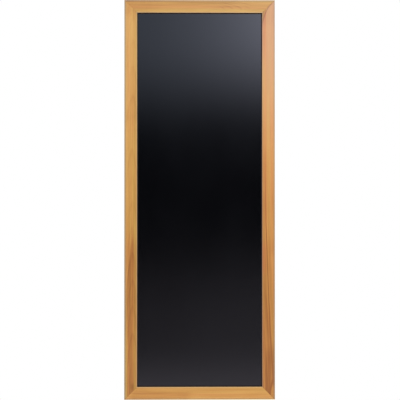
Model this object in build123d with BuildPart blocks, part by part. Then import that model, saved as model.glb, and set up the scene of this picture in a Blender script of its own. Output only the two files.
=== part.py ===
from build123d import *
from math import atan2, degrees, sqrt
import os

os.makedirs("parts", exist_ok=True)

# Wall chalkboard: a black laminated panel in a mitred wooden frame.
# Millimetres. +X is right as seen from the front, +Y points into the wall, +Z is up.
# The origin lies on the wall, behind the middle of the board.

# Whole board
board_width = 565
board_height = 1500
frame_depth = 20

# Moulding section
rail_face = 48
rabbet_width = 9
front_lip = 7
outer_arris_radius = 2
inner_arris_radius = 1.5
back_chamfer = 0.8
mitre_ease = 0.3

# Writing panel, three bonded layers
writing_sheet_thickness = 0.7
core_thickness = 3
backing_sheet_thickness = 0.3
panel_clearance = 1

# Framer's points, driven into the rabbet wall behind the panel
point_length = 15
point_bite = 7
point_width = 5.5
point_thickness = 0.4
point_tip_length = 3.5
point_tab_chamfer = 1.2
point_end_distance = 90
points_per_stile = 9
points_per_rail = 3

# V nails, pressed across each mitre from the back
nail_leg = 6
nail_thickness = 0.5
nail_height = 10
nail_place_shares = (0.36, 0.78)

# Soft bumpers between frame and wall
bumper_radius = 6
bumper_height = 5
bumper_edge_chamfer = 0.8
bumper_end_distance = 60

# D ring hangers: strap
hanger_drop = 150
strip_thickness = 0.8
strap_width = 9.5
strap_seam = 0.1
strap_bend_radius = 0.8
strap_tail_radius = 4.2
strap_end_margin = 6
strap_hole_play = 0.15
first_screw_distance = 8.5
second_screw_distance = 24

# D ring hangers: ring
ring_wire = 2.6
ring_play = 0.08
ring_inner_width = 15
ring_side_height = 6
ring_bend_radius = 2.2
ring_butt_gap = 0.3
ring_facets = 10

# D ring hangers: pan head screws
screw_diameter = 3.5
screw_length = 14
screw_tip_length = 4
screw_head_diameter = 7
screw_head_height = 2.2
screw_head_rim = 1.1
screw_crown_diameter = 5.2

# Planes across the depth, all worked out from the wall
frame_back = -bumper_height
frame_front = frame_back - frame_depth
panel_front = frame_front + front_lip
core_front = panel_front + writing_sheet_thickness
core_back = core_front + core_thickness
panel_back = core_back + backing_sheet_thickness

# Widths across the moulding's back
back_face_width = rail_face - rabbet_width
back_face_middle = back_face_width / 2
stile_middle = board_width / 2 - back_face_middle

into_wall = Vector(0, 1, 0)
right = Vector(1, 0, 0)
up = Vector(0, 0, 1)


def finish(piece, name):
    """Name a finished piece and write it."""
    piece.part.label = name
    export_step(piece.part, f"parts/{name}.step")


# Frame layout: outer corners on the front plane, clockwise as seen from the front

corners = {
    "bottom_left": Vector(-board_width / 2, frame_front, -board_height / 2),
    "top_left": Vector(-board_width / 2, frame_front, board_height / 2),
    "top_right": Vector(board_width / 2, frame_front, board_height / 2),
    "bottom_right": Vector(board_width / 2, frame_front, -board_height / 2),
}

# Each rail runs from one corner to the next, with the panel on its inward side
rails = {
    "left_stile": ("bottom_left", "top_left", right, points_per_stile),
    "top_rail": ("top_left", "top_right", -up, points_per_rail),
    "right_stile": ("top_right", "bottom_right", -right, points_per_stile),
    "bottom_rail": ("bottom_right", "bottom_left", up, points_per_rail),
}


# Writing panel

panel_width = board_width - 2 * (back_face_width + panel_clearance)
panel_height = board_height - 2 * (back_face_width + panel_clearance)
panel_layers = {
    "writing_sheet": (panel_front, writing_sheet_thickness),
    "panel_core": (core_front, core_thickness),
    "backing_sheet": (core_back, backing_sheet_thickness),
}
for layer_name, (layer_front, layer_thickness) in panel_layers.items():
    with BuildPart() as layer:
        with BuildSketch(Plane(origin=(0, layer_front, 0), x_dir=right, z_dir=into_wall)):
            Rectangle(panel_width, panel_height)
        extrude(amount=layer_thickness)
    finish(layer, layer_name)


# Framer's points: a spade with its tip in the wood and its tab flat on the panel's back

def point_planes(start, end, inward, count):
    """Where the points of one rail leave the rabbet wall, on the panel's back."""
    run = (end - start).normalized()
    first = back_face_width + point_end_distance
    pitch = ((end - start).length - 2 * first) / (count - 1)
    lift = into_wall * (panel_back - frame_front)
    for index in range(count):
        place = start + inward * back_face_width + run * (first + index * pitch) + lift
        yield Plane(origin=place, x_dir=inward, z_dir=into_wall)


with BuildPart() as panel_points:
    for start_name, end_name, inward, count in rails.values():
        for point_plane in point_planes(corners[start_name], corners[end_name], inward, count):
            with BuildSketch(point_plane) as point_outline:
                with BuildLine():
                    Polyline(
                        (-point_bite, 0),
                        (point_tip_length - point_bite, point_width / 2),
                        (point_length - point_bite, point_width / 2),
                        (point_length - point_bite, -point_width / 2),
                        (point_tip_length - point_bite, -point_width / 2),
                        close=True,
                    )
                make_face()
                chamfer(point_outline.vertices().group_by(Axis.X)[-1], length=point_tab_chamfer)
            extrude(amount=point_thickness)
finish(panel_points, "panel_points")


# V nails: two on each mitre line, the point of the V towards the panel

v_nails = {}
for start_name, end_name, inward, _ in rails.values():
    corner = corners[start_name]
    run = (corners[end_name] - corner).normalized()
    with BuildPart() as nails:
        for share in nail_place_shares:
            apex = corner + (inward + run) * back_face_width * share + into_wall * frame_depth
            with BuildSketch(Plane(origin=apex, x_dir=-inward, z_dir=-into_wall)):
                with BuildLine():
                    Polyline(
                        (0, 0),
                        (nail_leg, 0),
                        (nail_leg, nail_thickness),
                        (nail_thickness, nail_thickness),
                        (nail_thickness, nail_leg),
                        (0, nail_leg),
                        close=True,
                    )
                make_face()
            extrude(amount=nail_height)
    finish(nails, f"v_nails_{start_name}")
    v_nails[start_name] = nails


# Bumpers: on the stiles, near their ends

bumper_places = {
    "bottom_left": (-stile_middle, bumper_end_distance - board_height / 2),
    "top_left": (-stile_middle, board_height / 2 - bumper_end_distance),
    "top_right": (stile_middle, board_height / 2 - bumper_end_distance),
    "bottom_right": (stile_middle, bumper_end_distance - board_height / 2),
}
for place_name, (bumper_x, bumper_z) in bumper_places.items():
    bumper_foot = Vector(bumper_x, frame_back, bumper_z)
    with BuildPart() as bumper:
        with BuildSketch(Plane(origin=bumper_foot, x_dir=right, z_dir=up)) as bumper_section:
            with BuildLine():
                Polyline(
                    (0, 0),
                    (bumper_radius, 0),
                    (bumper_radius, bumper_height),
                    (0, bumper_height),
                    close=True,
                )
            make_face()
            rim = bumper_section.vertices().group_by(Axis.Y)[-1].sort_by(Axis.X)[-1]
            chamfer(rim, length=bumper_edge_chamfer)
        revolve(axis=Axis(bumper_foot, into_wall))
    finish(bumper, f"bumper_{place_name}")


# D ring hangers

# The strip's inner and outer radius round the bar, whose axis is one outer radius off the frame
eye_inner = ring_wire / 2 + ring_play
eye_outer = eye_inner + strip_thickness
bar_height = eye_outer

# The upper layer comes down from the eye in one reverse bend, tangent to eye and layer
upper_bottom = strip_thickness + strap_seam
upper_top = upper_bottom + strip_thickness
bend_outer = strap_bend_radius + strip_thickness
bend_height = upper_top + strap_bend_radius
bend_reach = sqrt((eye_outer + strap_bend_radius) ** 2 - (bend_height - bar_height) ** 2)
neck_angle = degrees(atan2(bend_height - bar_height, -bend_reach))
eye_sweep = neck_angle + 90
bend_sweep = neck_angle - 90
strap_tail = second_screw_distance + strap_end_margin

# The ring's centreline
ring_half_span = (ring_inner_width + ring_wire) / 2

bar_z = board_height / 2 - hanger_drop
bars = {
    "left": Vector(-stile_middle, frame_back + bar_height, bar_z),
    "right": Vector(stile_middle, frame_back + bar_height, bar_z),
}


def screw_seats(bar):
    """Where the heads of one strap's two screws sit, on its upper layer."""
    strap_face = bar + into_wall * (upper_top - bar_height)
    return [strap_face - up * first_screw_distance, strap_face - up * second_screw_distance]


# Straps: a strip folded round the ring's bar, drawn from the side with its tail to the left

for side_name, bar in bars.items():
    strap_foot = bar - into_wall * bar_height
    with BuildPart() as strap:
        with BuildSketch(Plane(origin=strap_foot, x_dir=up, z_dir=-right)):
            with BuildLine():
                Line((-strap_tail, 0), (0, 0))
                CenterArc((0, bar_height), eye_outer, -90, eye_sweep)
                CenterArc((-bend_reach, bend_height), strap_bend_radius, neck_angle - 180, -bend_sweep)
                Line((-bend_reach, upper_top), (-strap_tail, upper_top))
                Line((-strap_tail, upper_top), (-strap_tail, upper_bottom))
                Line((-strap_tail, upper_bottom), (-bend_reach, upper_bottom))
                CenterArc((-bend_reach, bend_height), bend_outer, -90, bend_sweep)
                CenterArc((0, bar_height), eye_inner, neck_angle, -eye_sweep)
                Line((0, strip_thickness), (-strap_tail, strip_thickness))
                Line((-strap_tail, strip_thickness), (-strap_tail, 0))
            make_face()
        extrude(amount=strap_width / 2, both=True)
        fillet(strap.edges().filter_by(Axis.Y).group_by(Axis.Z)[0], radius=strap_tail_radius)
        with Locations(*[Plane(origin=seat, z_dir=into_wall) for seat in screw_seats(bar)]):
            Hole(screw_diameter / 2 + strap_hole_play)
    finish(strap, f"hanger_strap_{side_name}")


# Rings: wire bent to a D, its ends butted inside the eye, in narrow flats to keep the faces few

for side_name, bar in bars.items():
    with BuildPart() as ring:
        with BuildLine(Plane(origin=bar, x_dir=right, z_dir=-into_wall)) as ring_path:
            FilletPolyline(
                (ring_butt_gap / 2, 0),
                (ring_half_span, 0),
                (ring_half_span, ring_side_height),
                radius=ring_bend_radius,
            )
            CenterArc((0, ring_side_height), ring_half_span, 0, 180)
            FilletPolyline(
                (-ring_half_span, ring_side_height),
                (-ring_half_span, 0),
                (-ring_butt_gap / 2, 0),
                radius=ring_bend_radius,
            )
        with BuildSketch(Plane(origin=ring_path.wire() @ 0, z_dir=ring_path.wire() % 0)):
            RegularPolygon(ring_wire / 2, ring_facets)
        sweep(path=ring_path.wire())
    finish(ring, f"hanger_ring_{side_name}")


# Hanger screws: through both layers of each strap into the stile

with BuildPart() as hanger_screws:
    for seat in screw_seats(bars["left"]) + screw_seats(bars["right"]):
        with BuildSketch(Plane(origin=seat, x_dir=right, z_dir=up)):
            with BuildLine():
                Polyline(
                    (0, screw_head_height),
                    (0, -screw_length),
                    (screw_diameter / 2, screw_tip_length - screw_length),
                    (screw_diameter / 2, 0),
                    (screw_head_diameter / 2, 0),
                    (screw_head_diameter / 2, screw_head_rim),
                    (screw_crown_diameter / 2, screw_head_height),
                    close=True,
                )
            make_face()
        revolve(axis=Axis(seat, into_wall))
finish(hanger_screws, "hanger_screws")


# Frame: four lengths of one moulding, mitred, with the fasteners' own shapes cut from the wood

for rail_name, (start_name, end_name, inward, _) in rails.items():
    start = corners[start_name]
    end = corners[end_name]
    run = (end - start).normalized()
    with BuildPart() as rail:
        with BuildSketch(Plane(origin=start, x_dir=inward, z_dir=run)) as section:
            with BuildLine():
                Polyline(
                    (0, 0),
                    (rail_face, 0),
                    (rail_face, front_lip),
                    (back_face_width, front_lip),
                    (back_face_width, frame_depth),
                    (0, frame_depth),
                    close=True,
                )
            make_face()
            chamfer(section.vertices().group_by(Axis.Y)[-1], length=back_chamfer)
            outer_front, inner_front = section.vertices().group_by(Axis.Y)[0].sort_by(Axis.X)
            fillet(outer_front, radius=outer_arris_radius)
            fillet(inner_front, radius=inner_arris_radius)
        extrude(amount=(end - start).length)
        for corner, run_in in ((start, run), (end, -run)):
            off_mitre = (run_in - inward).normalized()
            split(bisect_by=Plane(origin=corner, z_dir=off_mitre), keep=Keep.TOP)
            eased = corner + off_mitre * mitre_ease
            split(bisect_by=Plane(origin=eased, z_dir=off_mitre + into_wall), keep=Keep.TOP)
        add(panel_points.part, mode=Mode.SUBTRACT)
        add(v_nails[start_name].part, mode=Mode.SUBTRACT)
        add(v_nails[end_name].part, mode=Mode.SUBTRACT)
        add(hanger_screws.part, mode=Mode.SUBTRACT)
    finish(rail, rail_name)
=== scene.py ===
import math

import bmesh
import bpy
from mathutils import Matrix, Vector


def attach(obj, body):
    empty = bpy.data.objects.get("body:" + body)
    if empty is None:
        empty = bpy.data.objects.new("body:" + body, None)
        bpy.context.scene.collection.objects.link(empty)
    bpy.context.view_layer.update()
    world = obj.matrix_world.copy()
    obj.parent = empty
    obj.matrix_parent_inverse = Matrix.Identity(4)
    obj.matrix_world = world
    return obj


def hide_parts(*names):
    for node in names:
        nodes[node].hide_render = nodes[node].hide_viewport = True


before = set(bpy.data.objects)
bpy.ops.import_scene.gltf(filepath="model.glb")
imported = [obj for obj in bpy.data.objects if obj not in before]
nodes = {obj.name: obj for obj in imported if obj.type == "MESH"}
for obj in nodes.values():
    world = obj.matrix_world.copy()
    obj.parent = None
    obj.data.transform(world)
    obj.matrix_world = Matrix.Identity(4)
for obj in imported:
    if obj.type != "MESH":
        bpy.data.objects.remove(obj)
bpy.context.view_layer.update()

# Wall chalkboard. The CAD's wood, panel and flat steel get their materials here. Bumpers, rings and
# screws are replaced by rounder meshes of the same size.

scene = bpy.context.scene

# Places that the looks need, in metres, in the model's own frame
OUTER_X = 0.2825
OUTER_Z = 0.75
FACE_WIDTH = 0.048
FRONT_Y = -0.025
BACK_Y = -0.005
BAR_X = 0.263
BAR_Y = -0.00282
BAR_Z = 0.6
SEAT_Y = -0.0033
SEAT_Z = (0.5915, 0.576)
BUMPER_X = 0.263
BUMPER_Z = 0.69

# The sides that the names of nodes and bodies tell, as signs of X and Z
SIDES = {"left": -1, "right": 1}
CORNERS = {
    "top_left": (-1, 1), "top_right": (1, 1), "bottom_left": (-1, -1), "bottom_right": (1, -1),
}


# Shader graphs

class Graph:
    """The nodes of one tree. A number or colour is set on its input, and a socket is linked."""

    def __init__(self, tree):
        self.tree = tree
        self.tree.nodes.clear()

    def put(self, socket, value):
        if isinstance(value, bpy.types.NodeSocket):
            self.tree.links.new(value, socket)
        elif socket.type == "RGBA":
            socket.default_value = (*value[:3], 1.0)
        else:
            socket.default_value = value

    def add(self, kind, inputs=(), **settings):
        node = self.tree.nodes.new(kind)
        for key, value in settings.items():
            setattr(node, key, value)
        for key, value in dict(inputs).items():
            self.put(node.inputs[key], value)
        return node

    def math(self, operation, *values):
        return self.add("ShaderNodeMath", enumerate(values), operation=operation).outputs[0]

    def total(self, *terms):
        result = terms[0]
        for term in terms[1:]:
            result = self.math("ADD", result, term)
        return result

    def times(self, *factors):
        result = factors[0]
        for factor in factors[1:]:
            result = self.math("MULTIPLY", result, factor)
        return result

    def apart(self, a, b):
        """How far a is from b."""
        return self.math("ABSOLUTE", self.math("SUBTRACT", a, b))

    def inside(self, edge, value):
        """How far value is inside the two edges at plus and minus edge."""
        return self.math("SUBTRACT", edge, self.math("ABSOLUTE", value))

    def step(self, value, low, high, out_low=0.0, out_high=1.0, kind="SMOOTHSTEP"):
        """A step from out_low to out_high as value goes from low to high."""
        inputs = {0: value, 1: low, 2: high, 3: out_low, 4: out_high}
        return self.add("ShaderNodeMapRange", inputs, interpolation_type=kind).outputs[0]

    def vector(self, x, y, z):
        return self.add("ShaderNodeCombineXYZ", {0: x, 1: y, 2: z}).outputs[0]

    def place(self):
        """The point's place in the model's frame, as three sockets."""
        where = self.add("ShaderNodeTexCoord").outputs["Object"]
        return self.add("ShaderNodeSeparateXYZ", {0: where}).outputs

    def noise(self, vector, detail=2.0, roughness=0.5, distortion=0.0):
        """Noise about zero, nearly all of it between -0.3 and 0.3."""
        inputs = {"Vector": vector, "Scale": 1.0, "Detail": detail, "Roughness": roughness,
                  "Distortion": distortion}
        return self.math("SUBTRACT", self.add("ShaderNodeTexNoise", inputs).outputs[0], 0.5)

    def scaled(self, rates, shift=0.0, **settings):
        """Noise on the point's place, each axis at its own rate per metre."""
        x, y, z = (self.times(value, rate) for value, rate in zip(self.place(), rates))
        return self.noise(self.vector(self.math("ADD", x, shift), y, z), **settings)

    def ramp(self, value, stops, interpolation="EASE"):
        """A colour that goes through stops of (place, colour) as value goes from 0 to 1."""
        node = self.add("ShaderNodeValToRGB", {0: value})
        node.color_ramp.interpolation = interpolation
        elements = node.color_ramp.elements
        while len(elements) < len(stops):
            elements.new(0.5)
        for element, (place, colour) in zip(elements, stops):
            element.position = place
            element.color = (*colour, 1.0)
        return node.outputs[0]

    def level(self, value, stops, interpolation="EASE"):
        """A number that goes through stops of (place, level) as value goes from 0 to 1."""
        greys = [(place, (number,) * 3) for place, number in stops]
        return self.ramp(value, greys, interpolation)

    def mix(self, share, a, b, blend="MIX"):
        node = self.add("ShaderNodeMix", data_type="RGBA", blend_type=blend)
        for socket, value in ((0, share), (6, a), (7, b)):
            self.put(node.inputs[socket], value)
        return node.outputs[2]

    def bump(self, height, strength, distance):
        inputs = {"Height": height, "Strength": strength, "Distance": distance}
        return self.add("ShaderNodeBump", inputs).outputs[0]

    def finish(self, colour, roughness, normal, **uniform):
        """The surface's shader. uniform are inputs that are the same all over it."""
        inputs = {"Base Color": colour, "Roughness": roughness, "Normal": normal}
        inputs.update({key.replace("_", " "): value for key, value in uniform.items()})
        shader = self.add("ShaderNodeBsdfPrincipled", inputs)
        self.add("ShaderNodeOutputMaterial", {"Surface": shader.outputs[0]})


def new_material(name):
    """An empty material and the graph of its nodes."""
    material = bpy.data.materials.new(name)
    material.use_nodes = True
    return material, Graph(material.node_tree)


def dress(node_name, material):
    """Gives one node of the model its material."""
    mesh = nodes[node_name].data
    mesh.materials.clear()
    mesh.materials.append(material)


# Wood

# Lacquered hardwood, from its palest sapwood to its darkest latewood
WOOD = [
    (0.00, (0.80, 0.445, 0.165)),
    (0.25, (0.69, 0.350, 0.098)),
    (0.50, (0.60, 0.275, 0.068)),
    (0.75, (0.475, 0.190, 0.042)),
    (1.00, (0.33, 0.112, 0.022)),
]
PINK_WOOD = (0.66, 0.34, 0.20)
OCHRE_TINT = (0.95, 1.14, 0.94)
ROSE_TINT = (1.05, 0.86, 0.97)
PORE = (0.20, 0.075, 0.02)
# Painted light: a painted highlight for the inner arris, painted shade for the arrises, and darker
# painted shade for the outer edge
ARRIS_HIGHLIGHT = (0.66, 0.50, 0.32)
ARRIS_SHADE = (0.28, 0.28, 0.23)
OUTER_EDGE_SHADE = (0.26, 0.16, 0.045)
CORNER_SHADE = (0.035, 0.012, 0.003)
JOINT_LINE = (0.12, 0.05, 0.016)

# Streaks: rates per metre along and across the grain, shift, detail, and weight
TONE_STREAKS = [
    (1.6, 70, 11, 2, 0.50), (3.5, 240, 17, 2, 0.55), (12, 900, 23, 3, 0.30), (14, 14, 29, 1, 0.10),
]
TINT_STREAKS = [(1.3, 90, 61, 2, 0.9), (5, 300, 67, 2, 0.6)]
SHEEN_STREAKS = [(6, 300, 37, 2, 0.12)]
RELIEF_STREAKS = [(10, 700, 41, 3, 0.6)]
RING_WAVES = [(1.6, 12, 0, 1, 0.010), (9, 70, 3, 2, 0.0016)]
RING_STAGGER = [(2.5, 25, 7, 1, 0.9)]
PORES = (95, 2100, 31, 1)

# How dark one growth ring is, from its early wood to its late wood
RING_PROFILE = [(0.0, 0.0), (0.5, 0.18), (0.86, 1.0), (1.0, 0.0)]

# Bands of the finish in metres, each from where it begins to where it is full: the front below the
# face, the next four in from the outer edge, and the joint off the mitre
FRONT = (0.0030, 0.0010)
INNER_ARRIS = (0.0436, 0.0466)
OUTER_ARRIS = (0.0080, 0.0054)
OUTER_RIM = (0.0050, 0.0020)
INNER_WALL = (0.0470, 0.0478)
JOINT = (0.0010, 0.0002)


class Grain:
    """Where a point lies in one rail, in metres.

    run is its place along the rail, across how far in from the outer edge it is, depth how far
    below the face, and grain how far across the fibres. drift is how these run out of line with the
    rail: their lean, their curve, and the place along the rail where they are in line.
    """

    def __init__(self, g, along, seed, drift):
        self.g, self.seed = g, seed
        self.x, y, self.z = g.place()
        self.run, side = (self.z, self.x) if along == "Z" else (self.x, self.z)
        self.length, outer = (OUTER_Z, OUTER_X) if along == "Z" else (OUTER_X, OUTER_Z)
        self.across = g.inside(outer, side)
        self.depth = g.math("SUBTRACT", y, FRONT_Y)
        lean, curve, straight = drift
        past = g.math("SUBTRACT", self.run, straight)
        run_out = g.total(g.times(past, lean), g.times(past, past, curve))
        self.grain = g.math("SUBTRACT", self.across, run_out)

    def fibre(self, along_rate, across_rate, shift, detail):
        """Noise in long streaks, at its own rates per metre along and across the grain."""
        g = self.g
        lengthwise = g.math("MULTIPLY_ADD", self.run, along_rate, self.seed + shift)
        across, depth = g.times(self.grain, across_rate), g.times(self.depth, across_rate)
        return g.noise(g.vector(lengthwise, across, depth), detail)

    def streaks(self, table):
        """The sum of several kinds of streaks, each with its weight."""
        g = self.g
        return g.total(*(g.times(self.fibre(*kind), weight) for *kind, weight in table))

    def rings(self, middle, bend, pitch, wobble=1.0):
        """Growth rings: nested arches, their tips at middle across the rail, bend their sharpness.

        They follow one another every pitch along the rail. Each darkens slowly and ends in a sharp
        line, and some are stronger than others.
        """
        g = self.g
        offset = g.total(self.across, g.times(self.streaks(RING_WAVES), wobble), -middle)
        below = g.total(g.times(self.depth, self.depth), g.times(self.depth, 0.030))
        bow = g.total(g.times(offset, offset), below)
        field = g.times(g.math("MULTIPLY_ADD", bow, bend, self.run), 1 / pitch)
        field = g.total(field, g.times(self.streaks(RING_STAGGER), wobble))
        late = g.level(g.math("FRACT", field), RING_PROFILE)
        strength = g.noise(g.vector(g.times(field, 0.9), self.seed, 0.0), 1)
        return g.times(late, g.step(strength, -0.25, 0.3, 0.3, 1.3))

    def band(self, value, centre, half_width):
        """1 at centre, falling to 0 at half_width from it."""
        return self.g.step(self.g.apart(value, centre), half_width, 0.0)

    def between(self, value, low, high, soft):
        """1 between low and high, falling to 0 over soft beyond them."""
        g = self.g
        return g.times(g.step(value, low - soft, low), g.step(value, high + soft, high))


def wood(name, along, seed, tone, contrast, rings, figure, finish, drift=(0.0, 0.0, 0.0)):
    """Wood of one rail.

    along is X or Z. tone is how dark the wood is, from the rail's low end to its high end. rings
    says where the growth rings' tips lie, how sharp they are and how far apart, and contrast how
    much they show. figure gives what is particular to this rail: how much darker, how much redder
    and how pink it is at each point. finish gives the painted highlight or painted shade on the
    inner arris and how much there is of that. It also gives how much painted shade there is on the
    outer arris, and how much darker painted shade there is at the outer edge outside it.
    """
    material, g = new_material(name)
    rail = Grain(g, along, seed, drift)
    late = rail.rings(**rings)
    darker, redder, pink = figure(g, rail)

    end_to_end = g.step(rail.run, -rail.length, rail.length, kind="LINEAR")
    dark = g.total(
        g.level(end_to_end, tone), g.times(late, contrast), rail.streaks(TONE_STREAKS), darker)
    colour = g.ramp(dark, WOOD, "LINEAR")
    if pink is not None:
        colour = g.mix(pink, colour, PINK_WOOD)
    red = g.total(rail.streaks(TINT_STREAKS), redder, 0.5)
    colour = g.mix(1.0, colour, g.mix(red, OCHRE_TINT, ROSE_TINT), "MULTIPLY")
    pores = g.step(rail.fibre(*PORES), 0.14, 0.24)
    colour = g.mix(g.times(pores, 0.35), colour, PORE)

    # Painted light along the arrises: a painted highlight on the inner arris (painted shade there
    # on the right stile), painted shade on the outer arris and darker painted shade at the outer
    # edge
    front = g.step(rail.depth, *FRONT)
    for band, painted_light, share in (
        (INNER_ARRIS, finish["painted_light"], finish["inner"]),
        (OUTER_ARRIS, ARRIS_SHADE, finish["outer"]),
        (OUTER_RIM, OUTER_EDGE_SHADE, finish["rim"]),
    ):
        colour = g.mix(g.times(front, g.step(rail.across, *band), share), colour, painted_light)

    # Shade in the corner against the panel, fuller further in
    wall = g.times(g.step(rail.depth, 0.0, 0.0045, 0.5, 1.0), g.step(rail.across, *INNER_WALL))
    colour = g.mix(g.times(wall, 0.9), colour, CORNER_SHADE)

    # The joint line of the mitre, fainter at the top left and inwards in both top corners
    off_mitre = g.apart(g.inside(OUTER_X, rail.x), g.inside(OUTER_Z, rail.z))
    top_left = g.step(g.math("SUBTRACT", rail.z, rail.x), 0.80, 0.90, 1.0, 0.25)
    top_inner = g.step(
        g.times(g.step(rail.z, 0.0, 0.1), rail.across), 0.018, 0.030, 1.0, 0.4)
    joint = g.times(g.step(off_mitre, *JOINT), top_left, top_inner, 0.5)
    colour = g.mix(joint, colour, JOINT_LINE)

    roughness = g.total(rail.streaks(SHEEN_STREAKS), g.times(pores, 0.1), 0.33)
    height = g.total(rail.streaks(RELIEF_STREAKS), g.times(pores, -0.5), g.times(late, 0.12))
    g.finish(colour, roughness, g.bump(height, strength=0.35, distance=0.00012))
    return material


# What is particular to each rail: how much darker, how much redder and how pink each point is.
# Limits are metres along the rail from its middle, or across it from its outer edge, and the last
# factor of a term is what it adds where it is full.

def left_figure(g, rail):
    """Dark heartwood below one arch a little under the middle, ochre towards both edges."""
    offset = g.total(rail.across, rail.streaks([(6, 40, 51, 2, 0.006)]), -0.034)
    edge = g.math("MULTIPLY_ADD", g.times(offset, offset), -300, -0.125)
    heart = g.step(g.math("SUBTRACT", edge, rail.run), -0.012, 0.045)
    outer, inner = g.step(rail.across, 0.017, 0.008), g.step(rail.across, 0.030, 0.040)
    middle = rail.between(rail.across, 0.016, 0.034, 0.006)
    pale = g.total(g.times(outer, 0.4), g.times(inner, 0.5))
    above_heart = g.step(rail.run, -0.15, -0.05, 0.0, 0.10)
    top_end = g.step(rail.run, 0.50, 0.66, 0.0, 0.16)
    low_end = g.step(rail.run, -0.46, -0.58)
    end_patch = g.times(rail.band(rail.across, 0.031, 0.012), rail.band(rail.run, -0.702, 0.022))
    darker = g.total(
        g.times(heart, g.math("SUBTRACT", 1.0, pale), 0.24),
        g.times(inner, g.total(above_heart, top_end)),
        g.times(rail.band(rail.run, 0.310, 0.040), 0.10),
        g.times(outer, low_end, -0.12),
        g.times(end_patch, 0.22),
    )
    redder = g.total(
        g.times(outer, heart, -0.30),
        g.times(outer, low_end, -0.15),
        g.times(inner, -0.35),
        g.times(middle, rail.between(rail.run, -0.10, 0.20, 0.08), -0.16),
        g.times(g.step(rail.run, -0.20, -0.10), -0.07),
        g.times(end_patch, -0.3),
    )
    return darker, redder, None


def right_figure(g, rail):
    """Pink towards the top, redder along the inner edge, with one long dark line drifting outwards.

    A growth ring arches across the top end, and a short dark streak runs into the bottom corner.
    """
    upper = rail.between(rail.run, -0.06, 0.16, 0.10)
    lower = rail.between(rail.run, -0.66, -0.14, 0.06)
    broad = g.times(rail.band(rail.grain, 0.0285, 0.0050), upper)
    sharp = g.times(rail.band(rail.grain, 0.0274, 0.0026), lower)
    inner, outer = g.step(rail.across, 0.026, 0.038), g.step(rail.across, 0.020, 0.010)
    middle = rail.between(rail.across, 0.018, 0.032, 0.005)
    upper_middle = rail.between(rail.run, 0.0, 0.32, 0.20)
    lower_middle = rail.between(rail.run, -0.25, -0.19, 0.05)
    low_part = g.step(rail.run, -0.36, -0.50)
    low_end = g.step(rail.run, -0.54, -0.60)
    top_part = g.step(rail.run, 0.42, 0.62)

    squared = g.times(rail.across, rail.across)
    arch = g.total(rail.run, g.times(squared, 28), g.times(squared, rail.across, 180))
    ring = g.times(rail.band(arch, 0.742, 0.0085), g.step(rail.across, 0.006, 0.014))
    beyond = g.step(arch, 0.743, 0.751)

    slant = g.math("MULTIPLY_ADD", rail.run, 0.25, rail.across)
    near_end = rail.between(rail.run, -0.720, -0.685, 0.025)
    streak = g.times(rail.band(slant, -0.161, 0.0050), near_end)
    outside = g.times(g.step(slant, -0.163, -0.168), g.step(rail.run, -0.690, -0.705))

    darker = g.total(
        g.times(broad, 0.16),
        g.times(sharp, 0.42),
        g.times(inner, upper_middle, 0.14),
        g.times(inner, top_part, 0.22),
        g.times(outer, rail.between(rail.run, -0.52, -0.24, 0.08), -0.14),
        g.times(middle, low_end, 0.17),
        g.times(rail.band(rail.across, 0.0400, 0.0050), low_end, -0.12),
        g.times(ring, 0.50),
        g.times(streak, 0.30),
        g.times(outside, -0.11),
    )
    inner_red = g.total(top_part, g.times(lower_middle, 1.2), g.times(low_part, 0.3))
    redder = g.total(
        g.times(inner, upper_middle, 0.20),
        g.times(inner, inner_red, 0.38),
        g.times(outer, rail.between(rail.run, 0.05, 0.30, 0.15), 0.20),
        g.times(outer, low_part, -0.08),
        g.times(sharp, -0.25),
        g.times(beyond, -0.6),
        g.times(outside, -0.12),
        0.04,
    )
    pink = g.times(
        g.step(rail.run, 0.1, 0.62, 0.0, 0.6),
        g.step(beyond, 0.0, 1.0, 1.0, 0.3),
        g.step(ring, 0.0, 1.0, 1.0, 0.5),
        g.step(inner, 0.0, 1.0, 1.0, 0.5),
    )
    return darker, redder, pink


def top_figure(g, rail):
    """Darker outside on the left, rosier in the middle, ochre inside, a few arches on the right."""
    outer, inner = g.step(rail.across, 0.018, 0.008), g.step(rail.across, 0.030, 0.038)
    window = g.times(rail.between(rail.run, 0.10, 0.17, 0.04), g.step(rail.across, 0.040, 0.026))
    arches = g.times(rail.rings(middle=0.036, bend=90, pitch=0.032, wobble=1.4), window, 0.20)
    left_half = g.step(rail.run, 0.25, 0.0)
    darker = g.total(g.times(outer, left_half, 0.16), g.times(inner, -0.03), arches)
    redder = g.total(g.times(outer, -0.22), g.times(inner, -0.34), -0.02)
    return darker, redder, None


def bottom_figure(g, rail):
    """Darker outside left of the middle, ochre inside."""
    outer, inner = g.step(rail.across, 0.034, 0.020), g.step(rail.across, 0.028, 0.036)
    darker = g.times(outer, rail.between(rail.run, -0.24, -0.06, 0.04), 0.17)
    return darker, g.times(inner, -0.22), None


# finish sets each rail's painted highlight or painted shade on the inner arris, and how strong the
# painted shade on the outer arris and at the outer edge is
dress("left_stile", wood(
    "wood_left", "Z", seed=3.1, figure=left_figure, contrast=0.10,
    rings=dict(middle=0.031, bend=220, pitch=0.10),
    finish=dict(painted_light=ARRIS_HIGHLIGHT, inner=0.36, outer=0.34, rim=0.5),
    tone=[(0.0, 0.54), (0.36, 0.60), (0.43, 0.51), (0.55, 0.43), (0.66, 0.33), (0.76, 0.37),
          (0.945, 0.28), (0.975, 0.48)],
))
dress("right_stile", wood(
    "wood_right", "Z", seed=14.7, figure=right_figure, contrast=0.20,
    rings=dict(middle=0.125, bend=170, pitch=0.11),
    finish=dict(painted_light=ARRIS_SHADE, inner=0.35, outer=0.15, rim=0.4),
    tone=[(0.0, 0.82), (0.2, 0.74), (0.36, 0.64), (0.44, 0.49), (0.63, 0.33), (0.75, 0.22),
          (0.92, 0.30), (0.96, 0.50)],
    drift=(0.0344, -0.0368, -0.26),
))
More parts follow.
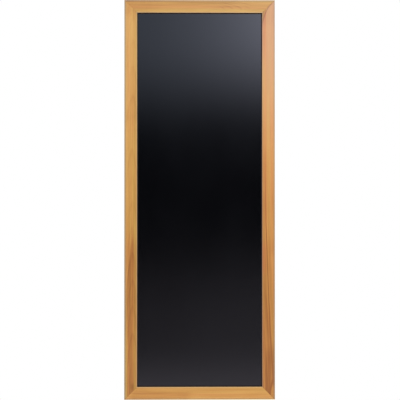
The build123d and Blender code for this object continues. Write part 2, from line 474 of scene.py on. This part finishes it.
dress("top_rail", wood(
    "wood_top", "X", seed=27.3, figure=top_figure, contrast=0.18,
    rings=dict(middle=0.075, bend=150, pitch=0.06),
    finish=dict(painted_light=ARRIS_HIGHLIGHT, inner=0.36, outer=0.22, rim=0.0),
    tone=[(0.0, 0.54), (0.4, 0.48), (0.65, 0.48), (0.8, 0.435), (1.0, 0.45)],
))
dress("bottom_rail", wood(
    "wood_bottom", "X", seed=39.9, figure=bottom_figure, contrast=0.18,
    rings=dict(middle=-0.03, bend=150, pitch=0.07),
    finish=dict(painted_light=ARRIS_HIGHLIGHT, inner=0.40, outer=0.14, rim=0.3),
    tone=[(0.0, 0.45), (0.4, 0.40), (1.0, 0.38)],
))


# Panel

BLACK = (0.0012, 0.0013, 0.0019)
WIPED_BLACK = (0.0022, 0.0024, 0.0032)
# The brown of a painted shadow and painted reflection of the frame, on the laminate next to it
FRAME_SHADOW_BROWN = (0.021, 0.007, 0.0005)
EDGE_LINE = (0.0038, 0.0022)
GLOSS = 0.675
GLOSS_TINT = (0.90, 0.84, 0.985, 1.0)


def laminate():
    """Black satin laminate: fine grain, faint wiping marks, and a matt line along the frame whose
    brown colour is a painted shadow and painted reflection of the frame.
    """
    material, g = new_material("laminate")
    fine = g.scaled((1500, 1500, 1500), detail=3.0)
    coarse = g.scaled((260, 260, 260), 5.0)
    wiped = g.scaled((7, 7, 3), 9.0, detail=4.0, roughness=0.6)
    x, _, z = g.place()
    from_side = g.inside(OUTER_X - FACE_WIDTH, x)
    from_end = g.inside(OUTER_Z - FACE_WIDTH, z)
    # Along the frame the laminate is matt, and its colour there is a painted brown shadow and
    # reflection of the frame
    dull_and_shadow = g.step(g.math("MINIMUM", from_side, from_end), *EDGE_LINE)
    colour = g.mix(g.step(wiped, -0.2, 0.3), BLACK, WIPED_BLACK)
    colour = g.mix(dull_and_shadow, colour, FRAME_SHADOW_BROWN)
    roughness = g.total(g.times(wiped, 0.02), g.times(fine, 0.02), g.times(dull_and_shadow, 0.75), 0.145)
    normal = g.bump(g.total(fine, g.times(coarse, 8)), strength=0.2, distance=0.00001)
    g.finish(colour, roughness, normal, Specular_Tint=GLOSS_TINT, Specular_IOR_Level=GLOSS)
    return material


def hardboard():
    """Brown pressed fibres."""
    material, g = new_material("hardboard")
    fibres = g.scaled((420, 420, 420), detail=5.0, roughness=0.7, distortion=1.5)
    browns = [(0.0, (0.07, 0.035, 0.016)), (1.0, (0.22, 0.12, 0.06))]
    colour = g.ramp(g.step(fibres, -0.3, 0.3), browns)
    g.finish(colour, 0.85, g.bump(fibres, strength=0.5, distance=0.0003))
    return material


def backing_paper():
    """Brown kraft sheet: long fibres, darker flecks and a faint cloudiness."""
    material, g = new_material("backing_paper")
    cloud = g.scaled((14, 14, 9), 2.0, detail=3.0)
    fibres = g.scaled((900, 900, 160), 5.0, detail=4.0, roughness=0.65, distortion=0.8)
    crossed = g.scaled((170, 170, 800), 8.0, detail=3.0, distortion=0.8)
    flecks = g.step(g.scaled((520, 520, 240), 12.0, detail=1.0), 0.2, 0.27)
    shade = g.total(g.times(cloud, 0.5), g.times(fibres, 0.6), g.times(crossed, 0.4), 0.5)
    colour = g.ramp(shade, [(0.1, (0.17, 0.092, 0.045)), (0.9, (0.30, 0.175, 0.093))])
    colour = g.mix(g.times(flecks, 0.6), colour, (0.09, 0.045, 0.02))
    g.finish(colour, 0.78, g.bump(g.total(fibres, crossed), strength=0.35, distance=0.0001))
    return material


dress("writing_sheet", laminate())
dress("panel_core", hardboard())
dress("backing_sheet", backing_paper())


# Metal and rubber

def metal(name, pale, deep, roughness, rates, shift, scratch):
    """Plated or rolled steel: patchy plating, fine marks from rolling or drawing, and scratches.

    rates are the marks' own, per metre along X, Y and Z, and scratch is how much the scratches
    roughen it.
    """
    material, g = new_material(name)
    patches = g.scaled((180, 180, 180), shift, detail=3.0)
    marks = g.scaled(rates, shift + 4, detail=4.0, roughness=0.6)
    scratches = g.step(g.scaled(rates[::-1], shift + 9, detail=1.0), 0.17, 0.25)
    colour = g.mix(g.step(g.total(patches, g.times(marks, 0.5)), -0.3, 0.3), deep, pale)
    rough = g.total(
        g.times(patches, 0.12), g.times(marks, 0.14), g.times(scratches, scratch), roughness)
    height = g.total(g.times(marks, 0.5), g.times(scratches, -0.3), g.times(patches, 0.4))
    g.finish(colour, rough, g.bump(height, strength=0.25, distance=0.00006), Metallic=1.0)
    return material


def rubber():
    """Black moulded rubber with a fine matt grain."""
    material, g = new_material("rubber")
    grain = g.scaled((1400, 1400, 1400), detail=3.0, roughness=0.6)
    dust = g.scaled((160, 160, 160), 3.0, detail=4.0)
    colour = g.mix(g.step(dust, -0.1, 0.35), (0.018, 0.018, 0.019), (0.045, 0.043, 0.040))
    roughness = g.total(g.times(grain, 0.2), 0.62)
    g.finish(colour, roughness, g.bump(grain, strength=0.3, distance=0.0001))
    return material


point_steel = metal(
    "point_steel", pale=(0.50, 0.51, 0.54), deep=(0.33, 0.34, 0.38), roughness=0.34,
    rates=(90, 90, 2200), shift=1.0, scratch=0.1)
zinc = metal(
    "zinc", pale=(0.74, 0.75, 0.77), deep=(0.56, 0.58, 0.62), roughness=0.27,
    rates=(1900, 1900, 120), shift=6.0, scratch=0.12)
yellow_zinc = metal(
    "yellow_zinc", pale=(0.78, 0.66, 0.40), deep=(0.60, 0.50, 0.34), roughness=0.26,
    rates=(900, 900, 900), shift=12.0, scratch=0.08)
bumper_rubber = rubber()

dress("panel_points", point_steel)
for corner in CORNERS:
    dress(f"v_nails_{corner}", point_steel)
for side in SIDES:
    dress(f"hanger_strap_{side}", zinc)


# Modelled pieces

BACKWARD = Matrix.Rotation(math.radians(-90), 4, "X")


def arc(centre, radius, start, end, count):
    """Points of an arc as (radius, height) pairs, angles in degrees."""
    for index in range(count + 1):
        angle = math.radians(start + (end - start) * index / count)
        yield centre[0] + radius * math.cos(angle), centre[1] + radius * math.sin(angle)


def skin(rows):
    """Faces that join each row of vertices to the next. A row of one is a pole."""
    faces = []
    for low, high in zip(rows, rows[1:]):
        count = max(len(low), len(high))
        for step in range(count):
            after = (step + 1) % count
            if len(low) == 1:
                faces.append((low[0], high[after], high[step]))
            elif len(high) == 1:
                faces.append((low[step], low[after], high[0]))
            else:
                faces.append((low[step], low[after], high[after], high[step]))
    return faces


def closed_mesh(name, vertices, faces):
    """A mesh with all its faces turned outwards."""
    mesh = bpy.data.meshes.new(name)
    mesh.from_pydata(vertices, [], faces)
    turned = bmesh.new()
    turned.from_mesh(mesh)
    bmesh.ops.recalc_face_normals(turned, faces=turned.faces)
    turned.to_mesh(mesh)
    turned.free()
    return mesh


def lathe(profile, segments, shape=None):
    """A mesh turned about Z.

    profile goes from the lower pole to the upper one as (radius, height) pairs, and
    shape(radius, height, angle) may change the radius round the turn.
    """
    vertices, rows = [], []
    for radius, height in profile:
        count = segments if radius > 0 else 1
        rows.append(range(len(vertices), len(vertices) + count))
        for step in range(count):
            angle = math.tau * step / segments
            r = shape(radius, height, angle) if shape else radius
            vertices.append((r * math.cos(angle), r * math.sin(angle), height))
    return closed_mesh("turned", vertices, skin(rows))


def set_on_back(mesh, x, y, z):
    """Turns a mesh made along Z to point backward, its origin at this place."""
    mesh.transform(BACKWARD)
    mesh.transform(Matrix.Translation((x, y, z)))


def shade_smooth(mesh, sharp_angle=40):
    """Smooth shading with crisp edges where faces meet at more than sharp_angle degrees."""
    mesh.polygons.foreach_set("use_smooth", [True] * len(mesh.polygons))
    mesh.set_sharp_from_angle(angle=math.radians(sharp_angle))


def make_piece(name, mesh, material, body, slot, *replaced):
    """A piece with material's finish that rides on body and hides the nodes it replaces. slot is
    not used.
    """
    mesh.materials.clear()
    mesh.materials.append(material)
    piece = bpy.data.objects.new(name, mesh)
    scene.collection.objects.link(piece)
    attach(piece, body)
    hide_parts(*replaced)


# Bumpers: moulded discs with a rounded rim, flat where they meet the wall

BUMPER_RADIUS = 0.006
BUMPER_HEIGHT = 0.005
BUMPER_EASE = 0.0002
BUMPER_RIM = 0.0011
BUMPER_FLAT = 0.003

rim_centre = (BUMPER_RADIUS - BUMPER_RIM, BUMPER_HEIGHT - BUMPER_RIM)
bumper_profile = [(0.0, 0.0), (BUMPER_RADIUS - BUMPER_EASE, 0.0), (BUMPER_RADIUS, BUMPER_EASE)]
bumper_profile += arc(rim_centre, BUMPER_RIM, 0, 90, 8)
bumper_profile += [(BUMPER_FLAT, BUMPER_HEIGHT), (0.0, BUMPER_HEIGHT)]
for corner, (sign_x, sign_z) in CORNERS.items():
    mesh = lathe(bumper_profile, 64)
    set_on_back(mesh, sign_x * BUMPER_X, BACK_Y, sign_z * BUMPER_Z)
    shade_smooth(mesh)
    name = f"bumper_{corner}"
    make_piece(f"{name}_pad", mesh, bumper_rubber, "board", "bumper_rubber", name)


# Rings: round wire bent to a D, its ends butted inside the strap's eye

WIRE_RADIUS = 0.0013
WIRE_END = 0.9
WIRE_SEGMENTS = 28
RING_HALF_SPAN = 0.0088
RING_SIDE = 0.006
RING_BEND = 0.0022
RING_BAR = 0.003
RING_GAP = 0.00015


def ring_centreline():
    """The wire's centreline in the ring's own plane, from the gap round to the gap."""
    half = [(RING_GAP, 0.0), (RING_BAR, 0.0)]
    half += arc((RING_HALF_SPAN - RING_BEND, RING_BEND), RING_BEND, -90, 0, 14)
    half += arc((0.0, RING_SIDE), RING_HALF_SPAN, 0, 90, 30)
    return half + [(-x, z) for x, z in reversed(half[:-1])]


def ring_mesh(centre):
    """A ring drawn straight up, the middle of its bar at centre."""
    path = [Vector((x, 0.0, z)) for x, z in ring_centreline()]
    sideways = Vector((0, 1, 0))
    vertices, rows = [], []
    for index, point in enumerate(path):
        before, after = path[max(index - 1, 0)], path[min(index + 1, len(path) - 1)]
        outward = (after - before).normalized().cross(sideways)
        radius = WIRE_RADIUS * (WIRE_END if index in (0, len(path) - 1) else 1.0)
        rows.append(range(len(vertices), len(vertices) + WIRE_SEGMENTS))
        for step in range(WIRE_SEGMENTS):
            angle = math.tau * step / WIRE_SEGMENTS
            offset = outward * math.cos(angle) * radius + sideways * math.sin(angle) * radius
            vertices.append(centre + point + offset)
    mesh = closed_mesh("ring", vertices, skin(rows) + [tuple(rows[0]), tuple(rows[-1])])
    shade_smooth(mesh)
    return mesh


for side, sign in SIDES.items():
    mesh = ring_mesh(Vector((sign * BAR_X, BAR_Y, BAR_Z)))
    make_piece(f"ring_{side}_wire", mesh, zinc, f"{side}_ring", "zinc_steel", f"hanger_ring_{side}")


# Screws: pan head with a cross recess, rolled thread below

HEAD_RADIUS = 0.0035
HEAD_HEIGHT = 0.0022
HEAD_EDGE = 0.00025
HEAD_RIM = 0.0010
HEAD_EASE = 0.0002
HEAD_ROWS = 14
HEAD_FULLNESS = 0.75
SHANK_RADIUS = 0.00175
SHANK_TOP = -0.0002
CORE_RADIUS = 0.00118
SCREW_LENGTH = 0.014
TIP_LENGTH = 0.004
THREAD_TOP = -0.0012
THREAD_PITCH = 0.0013
THREAD_ROWS = 96
CREST_HALF_WIDTH = 0.28
SCREW_SEGMENTS = 36

# The recess: how far it goes down and its cutter stands above the head, and how far its wings
# reach and half their width, at its floor and at the cutter's top
RECESS_DEPTH = 0.0016
CUTTER_ABOVE = 0.0004
RECESS_FLOOR = (0.00055, 0.00022)
CUTTER_TOP = (0.0023, 0.00056)

# How far the first screw is turned, and each further one more, in degrees
FIRST_TURN = 23
NEXT_TURN = 61


def thread(radius, height, angle):
    """Radius of the threaded shank at one point: a sharp crest once per pitch."""
    if height > THREAD_TOP:
        return radius
    turn = (height / THREAD_PITCH - angle / math.tau) % 1.0
    crest = max(0.0, 1 - abs(turn - 0.5) / CREST_HALF_WIDTH)
    return radius * (CORE_RADIUS + (SHANK_RADIUS - CORE_RADIUS) * crest) / SHANK_RADIUS


def screw_mesh():
    """A screw along Z, its head's underside at the origin."""
    profile = [(0.0, -SCREW_LENGTH)]
    for row in range(1, THREAD_ROWS + 1):
        height = -SCREW_LENGTH + (SCREW_LENGTH + SHANK_TOP) * row / THREAD_ROWS
        taper = min(1.0, (height + SCREW_LENGTH) / TIP_LENGTH)
        profile.append((SHANK_RADIUS * taper, height))
    profile += [(SHANK_RADIUS, 0.0), (HEAD_RADIUS - HEAD_EDGE, 0.0)]
    profile += arc((HEAD_RADIUS - HEAD_EDGE, HEAD_EDGE), HEAD_EDGE, -60, 0, 3)
    profile += [(HEAD_RADIUS, HEAD_RIM - HEAD_EASE)]
    for row in range(HEAD_ROWS):
        angle = math.radians(90 * row / HEAD_ROWS)
        radius = HEAD_RADIUS * math.cos(angle) ** HEAD_FULLNESS
        profile.append((radius, HEAD_RIM + (HEAD_HEIGHT - HEAD_RIM) * math.sin(angle)))
    profile.append((0.0, HEAD_HEIGHT))
    return lathe(profile, SCREW_SEGMENTS, thread)


def cross_cutter():
    """A cross with tapering wings, wider at the top, to cut the recess with."""
    vertices, rows = [], []
    for height, (r, w) in (
        (HEAD_HEIGHT - RECESS_DEPTH, RECESS_FLOOR), (HEAD_HEIGHT + CUTTER_ABOVE, CUTTER_TOP),
    ):
        outline = [(w, w), (w, r), (-w, r), (-w, w), (-r, w), (-r, -w),
                   (-w, -w), (-w, -r), (w, -r), (w, -w), (r, -w), (r, w)]
        rows.append(range(len(vertices), len(vertices) + len(outline)))
        vertices += [(px, py, height) for px, py in outline]
    return closed_mesh("cutter", vertices, skin(rows) + [tuple(rows[0]), tuple(rows[-1])])


def recessed(mesh):
    """The mesh with the cross cut into it."""
    body = bpy.data.objects.new("screw_body", mesh)
    cutter = bpy.data.objects.new("screw_cutter", cross_cutter())
    for item in (body, cutter):
        scene.collection.objects.link(item)
    cut = body.modifiers.new("cross", "BOOLEAN")
    cut.operation = "DIFFERENCE"
    cut.solver = "EXACT"
    cut.object = cutter
    bpy.context.view_layer.update()
    evaluated = body.evaluated_get(bpy.context.evaluated_depsgraph_get())
    result = bpy.data.meshes.new_from_object(evaluated)
    for item in (body, cutter):
        bpy.data.objects.remove(item)
    return result


one_screw = recessed(screw_mesh())
screws = bmesh.new()
for index, (sign, seat_z) in enumerate((s, z) for s in SIDES.values() for z in SEAT_Z):
    placed = one_screw.copy()
    placed.transform(Matrix.Rotation(math.radians(FIRST_TURN + NEXT_TURN * index), 4, "Z"))
    set_on_back(placed, sign * BAR_X, SEAT_Y, seat_z)
    screws.from_mesh(placed)
all_screws = bpy.data.meshes.new("screws")
screws.to_mesh(all_screws)
screws.free()
shade_smooth(all_screws, 35)
make_piece("screws_pan_head", all_screws, yellow_zinc, "board", "screw_steel", "hanger_screws")


# Floor and world

FLOOR_Z = -1.5
FLOOR_HALF_WIDTH = 6.0
FLOOR_BACK = 3.8
FLOOR_FRONT = 34.0
FLOOR_SOLID = 0.35
FLOOR_COLOURS = ((0.92, 0.92, 0.91), (0.95, 0.95, 0.94))

# How solid the floor is, from the board to its front edge as shares of that distance
FLOOR_FADE = [
    (0.145, 1.0), (0.152, 0.84), (0.158, 0.42), (0.18, 0.36), (0.22, 0.43), (0.25, 0.46),
    (0.32, 0.41), (0.40, 0.30), (0.55, 0.175), (0.85, 0.065), (1.0, 0.0),
]

# How much of that is left from left to right, the stretch of X that this spans, and the stretch of
# Y, behind the camera, over which it sets in
FLOOR_TILT = [(0.0, 0.62), (0.36, 0.71), (0.55, 0.76), (0.78, 0.94), (1.0, 1.0)]
TILT_ACROSS = (-1.3, 0.9)
TILT_STARTS = (-4.4, -4.7)

AMBIENT = 0.79


def make_floor():
    """A pale floor that fades out to its edges, last in front, where the board mirrors it.

    It is clear from below, so that it doesn't hide the board there.
    """
    material, g = new_material("floor")
    x, y, _ = g.place()
    tilt = g.level(g.step(x, *TILT_ACROSS, kind="LINEAR"), FLOOR_TILT)
    underside = g.add("ShaderNodeNewGeometry").outputs["Backfacing"]
    fade = g.times(
        g.mix(g.step(y, *TILT_STARTS), (1.0,) * 3, tilt),
        g.step(g.math("ABSOLUTE", x), FLOOR_HALF_WIDTH, FLOOR_HALF_WIDTH * FLOOR_SOLID),
        g.step(y, FLOOR_BACK, FLOOR_BACK * FLOOR_SOLID),
        g.level(g.times(y, -1 / FLOOR_FRONT), FLOOR_FADE, "LINEAR"),
        g.math("SUBTRACT", 1.0, underside),
    )
    speckle = g.scaled((60, 60, 60), detail=4.0)
    colour = g.mix(g.step(speckle, -0.3, 0.3), *FLOOR_COLOURS)
    surface = g.add("ShaderNodeBsdfDiffuse", {"Color": colour}).outputs[0]
    clear = g.add("ShaderNodeBsdfTransparent").outputs[0]
    joined = g.add("ShaderNodeMixShader", {0: fade, 1: clear, 2: surface})
    g.add("ShaderNodeOutputMaterial", {"Surface": joined.outputs[0]})

    w = FLOOR_HALF_WIDTH
    corners = [(-w, -FLOOR_FRONT), (w, -FLOOR_FRONT), (w, FLOOR_BACK), (-w, FLOOR_BACK)]
    mesh = bpy.data.meshes.new("floor")
    mesh.from_pydata([(px, py, FLOOR_Z) for px, py in corners], [], [(0, 1, 2, 3)])
    mesh.materials.append(material)
    floor = bpy.data.objects.new("floor", mesh)
    scene.collection.objects.link(floor)


def make_world():
    """White to the camera, even light for surfaces, and for gloss dark behind the camera."""
    world = bpy.data.worlds.new("studio")
    world.use_nodes = True
    world.cycles.sampling_method = "NONE"
    g = Graph(world.node_tree)
    way = g.add("ShaderNodeTexCoord").outputs["Generated"]
    gloss = g.step(g.add("ShaderNodeSeparateXYZ", {0: way}).outputs[1], -0.25, 0.3)
    path = g.add("ShaderNodeLightPath").outputs
    level = g.mix(path["Is Glossy Ray"], (AMBIENT,) * 3, g.vector(gloss, gloss, gloss))
    level = g.mix(path["Is Camera Ray"], level, (1.0, 1.0, 1.0))
    background = g.add("ShaderNodeBackground", {"Color": level, "Strength": 1.0})
    g.add("ShaderNodeOutputWorld", {"Surface": background.outputs[0]})
    scene.world = world


make_floor()
make_world()


# Lights

# The key's colour at its left and right, its share of the radiance at the left, what it gains to
# the right, and the most that it may be
KEY_COLOURS = ((0.80, 1.005, 1.10), (0.99, 1.035, 1.06))
KEY_LEFT = 0.18889
KEY_GAIN = 2.0
KEY_MOST = 0.89


def softbox(name, place, aim, width, height, radiance, pattern=None):
    """A rectangular studio light, its strength given as the radiance of its face.

    pattern gives the colour and the share of that radiance at each place on the face.
    """
    data = bpy.data.lights.new(name, "AREA")
    data.shape = "RECTANGLE"
    data.size, data.size_y = width, height
    data.energy = radiance * math.pi * width * height
    if pattern:
        data.use_nodes = True
        g = Graph(data.node_tree)
        where = g.add("ShaderNodeNewGeometry").outputs["Position"]
        colour, share = pattern(g, *g.add("ShaderNodeSeparateXYZ", {0: where}).outputs)
        glow = g.add("ShaderNodeEmission", {"Color": colour, "Strength": share})
        g.add("ShaderNodeOutputLight", {"Surface": glow.outputs[0]})
    lamp = bpy.data.objects.new(name, data)
    lamp.location = place
    lamp.rotation_mode = "QUATERNION"
    lamp.rotation_quaternion = (Vector(aim) - Vector(place)).to_track_quat("-Z", "Y")
    scene.collection.objects.link(lamp)


def key_pattern(g, x, y, z):
    """Brighter and less blue to the right, fading out along the lower edge."""
    rise = g.step(x, -1.0, 1.6, kind="LINEAR")
    colour = g.mix(rise, *KEY_COLOURS)
    share = g.math("MULTIPLY_ADD", g.times(rise, rise, rise), KEY_GAIN, KEY_LEFT)
    share = g.math("MINIMUM", share, KEY_MOST)
    height = g.math("MULTIPLY_ADD", g.times(rise, rise), -0.35, z)
    fade = g.total(g.step(height, 0.48, 1.31), g.step(z, 0.15, 0.40, 0.0, 0.02))
    return colour, g.times(share, fade)


softbox(
    "key", place=(0.5, -4.0, 1.5), aim=(0.5, 0, 1.5), width=4.0, height=2.7, radiance=4.0,
    pattern=key_pattern)
softbox("side_left", place=(-3.4, -1.8, 0.6), aim=(0, 0, 0), width=1.6, height=2.4, radiance=1.5)
softbox("side_right", place=(3.4, -1.8, 0.6), aim=(0, 0, 0), width=1.6, height=2.4, radiance=1.5)
softbox("rear", place=(0.8, 3.6, 2.0), aim=(0, 0, 0), width=2.4, height=1.6, radiance=2.0)


# Camera

VIEW_DISTANCE = 3.6
VIEW_TARGET = (0.00158, 0.0, -0.00159)
VIEW_AZIMUTH = math.radians(-0.653)
VIEW_ELEVATION = math.radians(-0.417)
VIEW_LENS = 85.74

ahead = Vector((
    -math.sin(VIEW_AZIMUTH) * math.cos(VIEW_ELEVATION),
    math.cos(VIEW_AZIMUTH) * math.cos(VIEW_ELEVATION),
    -math.sin(VIEW_ELEVATION),
))
camera_data = bpy.data.cameras.new("camera")
camera_data.lens = VIEW_LENS
camera_data.sensor_width = 36.0
camera_data.clip_start = 0.05
camera_data.clip_end = 60.0
camera = bpy.data.objects.new("camera", camera_data)
camera.location = Vector(VIEW_TARGET) - ahead * VIEW_DISTANCE
camera.rotation_mode = "QUATERNION"
camera.rotation_quaternion = ahead.to_track_quat("-Z", "Y")
scene.collection.objects.link(camera)
scene.camera = camera

scene.view_settings.view_transform = "Standard"
